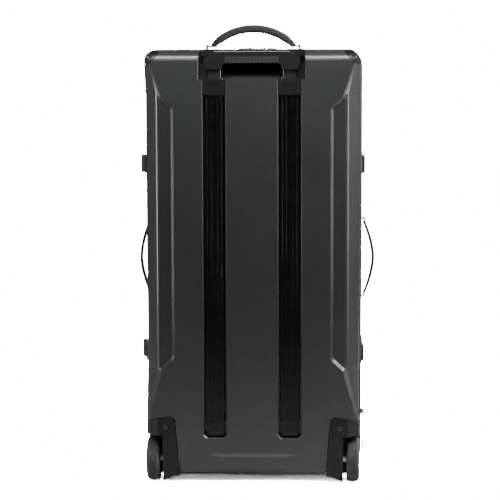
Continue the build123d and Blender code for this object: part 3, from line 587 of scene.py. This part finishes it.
def zip_teeth(name, y, side_y, body):
    """Coil of a zip along the case's outline."""
    path = [point for point in rounded_path(SIDE, FLOOR_Z, TOP_Z, CORNER, CORNER)]
    start = [index for index, point in enumerate(path) if point[0] > 0 and point[1] > LID_Z + 2 * MM][0]
    path = [point for point in path[start:] + path[:start] if point[1] > LID_Z + 2 * MM]
    points, faces = [], []
    pitch = 2.4 * MM
    carried = 0.0
    for here, there in zip(path, path[1:]):
        a, b = Vector((here[0], y, here[1])), Vector((there[0], y, there[1]))
        span = (b - a).length
        while carried < span:
            middle = a.lerp(b, carried / span)
            out = Vector((here[2], 0, here[3]))
            along = (b - a).normalized()
            start_at = len(points)
            for dy in (0.0, side_y * 3.2 * MM):
                for da, do in ((-0.8, 0.2), (0.8, 0.2), (0.5, 1.1), (-0.5, 1.1)):
                    points.append(middle + Vector((0, dy, 0)) + along * da * MM + out * do * MM)
            quad = [(0, 1, 2, 3), (4, 7, 6, 5), (0, 4, 5, 1), (1, 5, 6, 2), (2, 6, 7, 3), (3, 7, 4, 0)]
            faces += [tuple(start_at + corner for corner in face) for face in quad]
            carried += pitch
        carried -= span
    return place_piece(add_mesh(name, points, faces, PAINTS["buckle_plastic"], False), body)


# Pockets: padded pieces from a cloth simulation -------------------------------------------------------
def padded_panel(name, node, swell):
    """Pocket front: a thin closed pad, swollen by a cloth simulation and capped."""
    low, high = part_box(node)
    half_x, half_z = (high.x - low.x) / 2, (high.z - low.z) / 2
    centre = Vector((0, 0, (high.z + low.z) / 2))
    path = rounded_path(half_x, -half_z, half_z, 22 * MM, 22 * MM, 0.01)
    rings = []
    back = low.y - 7 * MM
    for y, inset in ((back, 0.0), (low.y + 0.6 * MM, 0.0), (low.y + 1.6 * MM, 1.2 * MM)):
        rings.append([Vector((x - nx * inset, y, z - nz * inset)) + centre for x, z, nx, nz in path])
    points = [point for ring in rings for point in ring]
    faces = ring_faces(3, len(path))
    faces.append(tuple(reversed(range(len(path)))))
    faces.append(tuple(2 * len(path) + index for index in range(len(path))))
    piece = add_mesh(name, points, faces, PAINTS["body_fabric"])
    remesh = piece.modifiers.new("remesh", "REMESH")
    remesh.mode = "VOXEL"
    remesh.voxel_size = 5 * MM
    apply_modifiers(piece)
    rest = [vertex.co.copy() for vertex in piece.data.vertices]
    cloth = piece.modifiers.new("cloth", "CLOTH")
    cloth.settings.use_pressure = True
    cloth.settings.uniform_pressure_force = 4
    cloth.settings.effector_weights.gravity = 0
    group = piece.vertex_groups.new(name="pin")
    pinned = [v.index for v in piece.data.vertices if v.co.y < low.y - 1 * MM]
    group.add(pinned, 1.0, "ADD")
    cloth.settings.vertex_group_mass = "pin"
    for number in range(1, 21):
        bpy.context.scene.frame_set(number)
    apply_modifiers(piece)
    bpy.context.scene.frame_set(1)
    for vertex, start in zip(piece.data.vertices, rest):
        move = vertex.co - start
        if move.length > swell:
            vertex.co = start + move.normalized() * swell
        if start.y > low.y:
            vertex.co.y += 0.7 * MM * (pucker(start.x, 0.1, start.z, 0.035) - 0.5)
    smooth = piece.modifiers.new("smooth", "SUBSURF")
    smooth.levels = smooth.render_levels = 1
    apply_modifiers(piece)
    piece.data.polygons.foreach_set("use_smooth", [True] * len(piece.data.polygons))
    return piece


def apply_modifiers(piece):
    """Replace the piece's mesh by what its modifiers give."""
    graph = bpy.context.evaluated_depsgraph_get()
    made = bpy.data.meshes.new_from_object(piece.evaluated_get(graph))
    paints = [slot for slot in piece.data.materials]
    piece.modifiers.clear()
    piece.data = made
    piece.data.materials.clear()
    for paint in paints:
        piece.data.materials.append(paint)


# Webbing ---------------------------------------------------------------------------------------------
def ribbon(name, spine, across, width, thickness, paint, rib=0.12 * MM):
    """Flat woven strap along a spine. Its edges are round and its faces carry small ribs."""
    across = Vector(across)
    columns = 10
    points = []
    for index, place in enumerate(spine):
        ahead = spine[min(index + 1, len(spine) - 1)] - spine[max(index - 1, 0)]
        out = ahead.cross(across).normalized()
        for face in (1, -1):
            for column in range(columns + 1):
                share = (column / columns * 2 - 1) * face
                lift = math.sqrt(max(0.0, 1 - abs(share) ** 6)) * thickness / 2
                lift += rib * (column % 2) * (1 if abs(share) < 0.9 else 0)
                points.append(place + across * share * width / 2 + out * lift * face)
    count = 2 * (columns + 1)
    faces = ring_faces(len(spine), count)
    faces.append(tuple(range(count)))
    faces.append(tuple((len(spine) - 1) * count + index for index in range(count)))
    return add_mesh(name, points, faces, paint)


def line(start, end, step=0.006):
    start, end = Vector(start), Vector(end)
    count = max(2, int((end - start).length / step))
    return [start.lerp(end, index / count) for index in range(count + 1)]


def make_side_handle(label, side):
    """Bowed webbing handle, nearly straight towards its ends."""
    low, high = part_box(f"side_handle_{label}")
    pivot = joints[f"side_handle_hinge_{label}"]["pos_m"][0]
    reach = (high.x - abs(pivot) if side > 0 else -low.x - abs(pivot)) - 3.6 * MM
    middle_y, middle_z = (low.y + high.y) / 2, (low.z + high.z) / 2
    half = (high.z - low.z) / 2 - 4 * MM
    spine = []
    for part in range(41):
        share = part / 20 - 1
        bow = (1 - abs(share) ** 1.7) * reach
        spine.append(Vector((pivot + side * bow, middle_y, middle_z + share * half)))
    handle = ribbon(f"side_handle_{label}_webbing", spine, (0, 1, 0), 20 * MM, 6.0 * MM, PAINTS["webbing"])
    place_piece(handle, f"side_handle_{label}", [f"side_handle_{label}"])
    for way in (-1, 1):
        path = [point + Vector((side * 3.1 * MM, way * 7 * MM, 0)) for point in spine[3:38]]
        stitches(f"side_handle_{label}_stitch_{way + 1}", path, (side, 0, 0), f"side_handle_{label}")


def make_carry_handle():
    """Padded top handle in diagonal twill with sewn edges, narrowing and thinning towards its ends."""
    low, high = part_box("carry_handle")
    pivot = joints["carry_handle_hinge"]["pos_m"][2]
    apex = high.z - 8.2 * MM
    end_x = high.x - 8 * MM
    middle_y = (low.y + high.y) / 2
    radius = (end_x ** 2 + (apex - pivot) ** 2) / (2 * (apex - pivot))
    spread = math.asin(end_x / radius)
    points, count, steps = [], 20, 64
    for step in range(steps + 1):
        angle = spread * (2 * step / steps - 1)
        out = Vector((math.sin(angle), 0, math.cos(angle)))
        centre = Vector((0, middle_y, apex - radius)) + out * radius
        height = centre.z - pivot
        thin = min(1.0, 0.55 + 0.45 * max(0.0, height) / (14 * MM))
        wide_half = (5 + 6.8 * max(0.0, min(1.0, (height - 3 * MM) / (10 * MM)))) * MM
        for part in range(count):
            turn = 2 * math.pi * part / count
            wide = math.copysign(abs(math.cos(turn)) ** 0.7, math.cos(turn)) * wide_half
            tall = math.copysign(abs(math.sin(turn)) ** 0.8, math.sin(turn)) * 8.0 * MM * thin
            tall += 0.25 * MM * math.sin(step * 2.1) * abs(math.sin(turn))
            points.append(centre + Vector((0, wide, 0)) + out * tall)
    faces = ring_faces(steps + 1, count)
    faces += [tuple(range(count)), tuple(steps * count + part for part in range(count))]
    handle = add_mesh("carry_handle_pad", points, faces, PAINTS["handle_fabric"])
    place_piece(handle, "carry_handle", ["carry_handle"])
    for way in (-1, 1):
        path = []
        for step in range(4, steps - 3):
            angle = spread * (2 * step / steps - 1)
            out = Vector((math.sin(angle), 0, math.cos(angle)))
            height = apex - radius + out.z * radius - pivot
            if height > 14 * MM:
                path.append(Vector((0, middle_y + way * 9.2 * MM, apex - radius)) + out * (radius + 5.4 * MM))
        stitches(f"carry_handle_stitch_{way + 1}", path, (0, 0, 1), "carry_handle")


def make_straps():
    """Side webbing with its stitches, and the loose tail with its thick tip."""
    for label, side in (("left", -1), ("right", 1)):
        for row in ("upper", "lower"):
            node = f"clip_webbing_{row}_{label}"
            low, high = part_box(node)
            inner, outer = sorted((abs(low.x), abs(high.x)))
            slack, x, z = outer - inner - 2 * MM, side * (inner + 1 * MM), (low.z + high.z) / 2
            spine = line((x, low.y, z), (x, high.y, z), 0.002)
            for point in spine:
                share = min(1.0, (point.y - low.y) / (40 * MM))
                point.x += side * slack * math.sin(math.pi * share) ** 2
            strap = ribbon(f"{node}_woven", spine, (0, 0, 1), high.z - low.z, 1.7 * MM, PAINTS["webbing"])
            place_piece(strap, f"buckle_clip_{row}_{label}", [node])
            for way in (-1, 1):
                offset_z = way * 15 * MM
                path = line((x + side * MM, high.y - 0.016, z + offset_z), (x + side * MM, high.y - 0.002, z + offset_z))
                stitches(f"{node}_stitch_{way + 1}", path, (side, 0, 0), f"buckle_clip_{row}_{label}")
    low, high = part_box("strap_tail")
    x, y = (low.x + high.x) / 2, (low.y + high.y) / 2
    tail = ribbon("strap_tail_woven", line((x, y, high.z - 2 * MM), (x, y, low.z + 2 * MM)), (0, 1, 0), 20 * MM, 2.2 * MM, PAINTS["webbing"])
    place_piece(tail, "strap_tail", ["strap_tail"])
    tip = ribbon("strap_tail_tip", line((x, y, low.z + 14 * MM), (x, y, low.z)), (0, 1, 0), 20 * MM, 5 * MM, PAINTS["webbing"])
    place_piece(tip, "strap_tail")


def soften(node, name, body, width=0.6 * MM):
    """Copy of a small CAD piece with rolled edges, keeping the piece's own material."""
    copy = nodes[node].copy()
    copy.data = nodes[node].data.copy()
    copy.name = name
    for key in list(copy.keys()):
        del copy[key]
    bpy.context.scene.collection.objects.link(copy)
    copy.parent = None
    bevel = copy.modifiers.new("edges", "BEVEL")
    bevel.width = width
    bevel.segments = 3
    bevel.limit_method = "ANGLE"
    apply_modifiers(copy)
    return place_piece(copy, body, [node])


def make_spring():
    """Button spring: a copy of the CAD spring with barely rounded edges, on a mesh of its own."""
    spring = soften("button_spring", "button_spring_coil", "release_button", 0.03 * MM)
    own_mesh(spring)


# Sewn details ---------------------------------------------------------------------------------------
class Front:
    """Finds the outer surface of the lid and its pockets, looking from the front."""

    def __init__(self, pieces):
        graph = bpy.context.evaluated_depsgraph_get()
        graph.update()
        self.trees = [BVHTree.FromObject(piece, graph) for piece in pieces]

    def at(self, x, z, proud=0.0):
        hits = [tree.ray_cast(Vector((x, 0.4, z)), Vector((0, -1, 0)))[0] for tree in self.trees]
        return Vector((x, max([hit.y for hit in hits if hit] or [FRONT_Y]) + proud, z))


def cord_tube(name, path, radius, paint, body, closed=False):
    """Round piping or thread along a path."""
    points, sides = [], 6
    for index, place in enumerate(path):
        before = path[index - 1] if closed or index else path[0]
        after = path[(index + 1) % len(path)] if closed or index + 1 < len(path) else path[-1]
        along = (after - before).normalized()
        first = along.cross(Vector((0.31, 0.83, 0.47))).normalized()
        second = along.cross(first)
        for part in range(sides):
            turn = 2 * math.pi * part / sides
            points.append(place + (first * math.cos(turn) + second * math.sin(turn)) * radius)
    faces = ring_faces(len(path), sides, closed)
    if not closed:
        faces += [tuple(range(sides)), tuple((len(path) - 1) * sides + part for part in range(sides))]
    return place_piece(add_mesh(name, points, faces, paint), body)


def framed(half, low, high, radius, inset):
    return [(x - nx * inset, z - nz * inset) for x, z, nx, nz in rounded_path(half, low, high, radius, radius, 0.008)]


def sew_front(front):
    """Stitch rows, piping and the pocket zip on the lid."""
    for node, name in (("front_pocket", "front_pocket_stitch"), ("upper_pocket", "upper_pocket_stitch")):
        low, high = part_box(node)
        for row, inset in enumerate((3.5 * MM, 8 * MM)):
            places = [front.at(x, z, 0.1 * MM) for x, z in framed(high.x, low.z, high.z, 22 * MM, inset)]
            stitches(f"{name}_{row}", places + places[:1], (0, 1, 0), "lid")
    low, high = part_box("front_pocket")
    slider_low, slider_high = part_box("pocket_slider")
    zip_z = slider_high.z - 5 * MM
    places = [front.at(x * MM, zip_z, 0.5 * MM) for x in range(-134, 135, 4)]
    tape = ribbon("pocket_zip_tape", places, (0, 0, 1), 15 * MM, 1.0 * MM, PAINTS["zip_tape"])
    place_piece(tape, "lid")
    coil_points, coil_faces = [], []
    for place, along in walk(places, 2.2 * MM):
        start = len(coil_points)
        for dz in (-2.4, 2.4):
            for dx, dy in ((-0.7, 0.3), (0.7, 0.3), (0.5, 1.2), (-0.5, 1.2)):
                coil_points.append(place + Vector((dx, dy, dz)) * MM)
        quad = [(0, 1, 2, 3), (4, 7, 6, 5), (0, 4, 5, 1), (1, 5, 6, 2), (2, 6, 7, 3), (3, 7, 4, 0)]
        coil_faces += [tuple(start + corner for corner in face) for face in quad]
    place_piece(add_mesh("pocket_zip_coil", coil_points, coil_faces, PAINTS["buckle_plastic"], False), "lid")
    for way in (-1, 1):
        row = [front.at(x * MM, zip_z + way * 9.5 * MM, 0.1 * MM) for x in range(-138, 139, 4)]
        stitches(f"pocket_zip_stitch_{way + 1}", row, (0, 1, 0), "lid")
    edge = [Vector((x, FRONT_Y - ROUND, z)) for x, z, nx, nz in rounded_path(SIDE, LID_Z, TOP_Z, 3 * MM, CORNER)]
    edge = [point for point in edge if point.z > LID_Z + 3 * MM]
    start = [index for index, point in enumerate(edge) if point.x < 0 and point.z < LID_Z + 16 * MM][-1]
    edge = edge[start:] + edge[:start]
    cord_tube("lid_piping", edge, 1.7 * MM, PAINTS["webbing"], "lid")


def sew_body():
    """Stitch rows beside the zip and along the rim binding, and the cloth over the lid's hinge."""
    outline = rounded_path(SIDE, FLOOR_Z, TOP_Z, CORNER, CORNER)
    upper = [point for point in outline if point[1] > LID_Z + 4 * MM]
    start = [index for index, point in enumerate(upper) if point[0] < 0][-1] + 1
    upper = upper[start:] + upper[:start]
    def outward(place):
        return Vector((place.x, 0, 0)).normalized() if abs(place.z - 0.46) < 0.40 else Vector((0, 0, 1))
    for name, y, body in (("body_seam", ZIP_Y - 15 * MM, "root"), ("lid_seam", ZIP_Y + 15 * MM, "lid")):
        path = [Vector((x, y, z)) for x, z, nx, nz in upper]
        stitches(name, path, outward, body)
    rim = [Vector((x, START_Y + 7 * MM, z)) for x, z, nx, nz in outline]
    stitches("rim_seam", rim + rim[:1], outward, "root")
    rows = []
    for z in (-16, -10, -5, -2, 0, 2, 5, 10, 16):
        rows.append([Vector((x * MM, FRONT_Y + 0.9 * MM - 0.02 * abs(z) * MM, LID_Z + z * MM)) for x in range(-200, 201, 10)])
    points = [point for row in rows for point in row]
    points += [point - Vector((0, 1.2 * MM, 0)) for point in points]
    count, across = len(rows), len(rows[0])
    faces = []
    for row in range(count - 1):
        for index in range(across - 1):
            quad = (row * across + index, row * across + index + 1, (row + 1) * across + index + 1, (row + 1) * across + index)
            faces.append(quad)
            faces.append(tuple(corner + count * across for corner in reversed(quad)))
    rim_loop = list(range(across)) + [row * across + across - 1 for row in range(1, count)]
    rim_loop += [(count - 1) * across + index for index in range(across - 2, -1, -1)] + [row * across for row in range(count - 2, 0, -1)]
    for here, there in zip(rim_loop, rim_loop[1:] + rim_loop[:1]):
        faces.append((here, there, there + count * across, here + count * across))
    hinge = add_mesh("lid_hinge_cloth", points, faces, PAINTS["body_fabric"])
    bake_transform(hinge)


# Build -----------------------------------------------------------------------------------------------
make_camera()
make_stage()
paint_cad_nodes()

place_piece(make_body_walls(), "root", ["fabric_body"])
place_piece(make_sill(), "root")
lid = place_piece(make_lid(), "lid", ["front_lid"])
lower = place_piece(padded_panel("front_pocket_pad", "front_pocket", 5 * MM), "lid", ["front_pocket"])
upper = place_piece(padded_panel("upper_pocket_pad", "upper_pocket", 4 * MM), "lid", ["upper_pocket"])
sew_front(Front([lid, lower, upper]))
sew_body()

place_piece(band("body_tape", ZIP_Y - 12 * MM, ZIP_Y - 0.3 * MM, 0.8 * MM, PAINTS["zip_tape"]), "root", ["body_zip_tape"])
place_piece(band("lid_tape", ZIP_Y, ZIP_Y + 12 * MM, 0.8 * MM, PAINTS["zip_tape"]), "lid", ["lid_zip_tape"])
zip_teeth("body_coil", ZIP_Y - 0.2 * MM, -1, "root")
zip_teeth("lid_coil", ZIP_Y + 0.2 * MM, 1, "lid")

shell_path = rounded_path(220.3 * MM, 16.0 * MM, 897 * MM, 26 * MM, 26 * MM)
binding = band("rim_cord", START_Y - 4.4 * MM, START_Y + 0.6 * MM, 2.2 * MM, PAINTS["webbing"], bead=True, full=True, outline=shell_path)
place_piece(binding, "root", ["rim_binding"])

make_carry_handle()
for label, side in (("left", -1), ("right", 1)):
    make_side_handle(label, side)
make_straps()
soften("strap_loops", "strap_loops_sewn", "root")
soften("tube_liner", "tube_liner_cloth", "root", 1.0 * MM)
make_spring()
